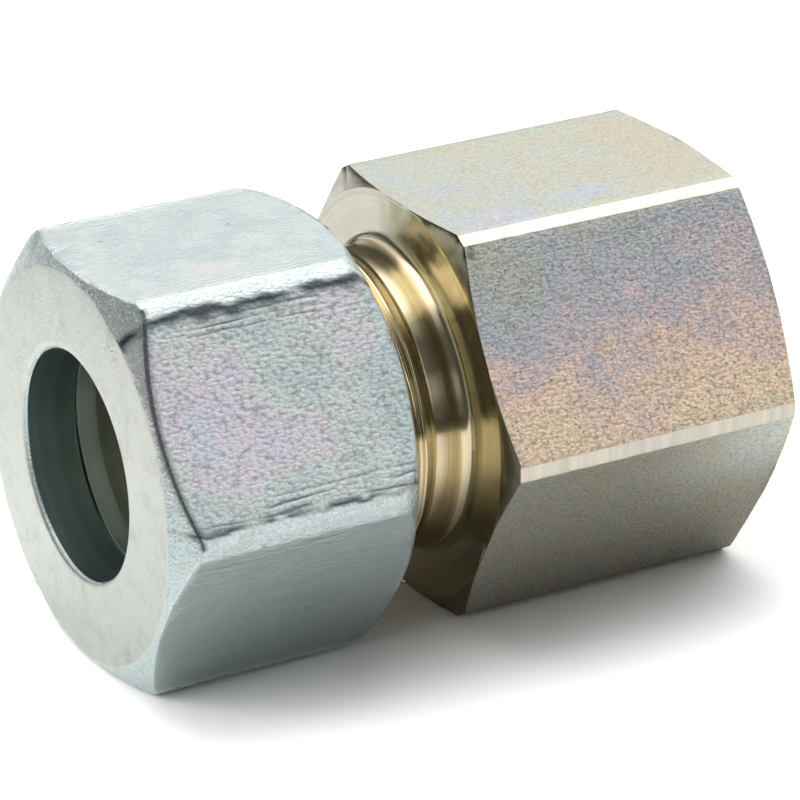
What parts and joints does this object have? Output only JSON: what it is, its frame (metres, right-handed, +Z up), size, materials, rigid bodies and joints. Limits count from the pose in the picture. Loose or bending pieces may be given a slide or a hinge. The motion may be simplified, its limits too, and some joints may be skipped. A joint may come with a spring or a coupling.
{
  "type": "female stud coupling",
  "caption": "Straight steel tube coupling: hexagon body with a female pipe-thread port, a threaded shank with a cone seat, a cutting ring inside and a hexagon union nut.",
  "frame": {"origin": "middle of the tube stop, on the axis of the bore: where the tube's end comes to sit in the socket", "axes": "+X along the axis of the bore, out of the female port; +Z up, square to the flat that the coupling lies on; +Y to the left, seen along +X"},
  "size_m": [0.06, 0.0408, 0.036],
  "materials": {
    "yellow_zinc_steel": "yellow-passivated zinc plating on drawn bar, turned neck and faces",
    "ring_steel": "smooth plated steel, turned",
    "silver_zinc_steel": "silver zinc plating on a forged, slightly rough surface"
  },
  "bodies": {
    "fitting_body": {"fitting_body": "yellow_zinc_steel"},
    "cutting_ring": {"cutting_ring": "ring_steel"},
    "union_nut": {"union_nut": "silver_zinc_steel"}
  },
  "joints": [
    {"name": "ring_slide", "type": "slide", "parent": "fitting_body", "child": "cutting_ring", "axis": [1, 0, 0], "range_m": [-0.011, 0]},
    {"name": "nut_turn", "type": "hinge", "parent": "cutting_ring", "child": "union_nut", "pos_m": [-0.0108, 0, 0], "axis": [1, 0, 0], "range_deg": [-1980, 0]}
  ],
  "couplings": [
    {"joint": "ring_slide", "follows": "nut_turn", "m_per_rad": 0.0003183}
  ]
}
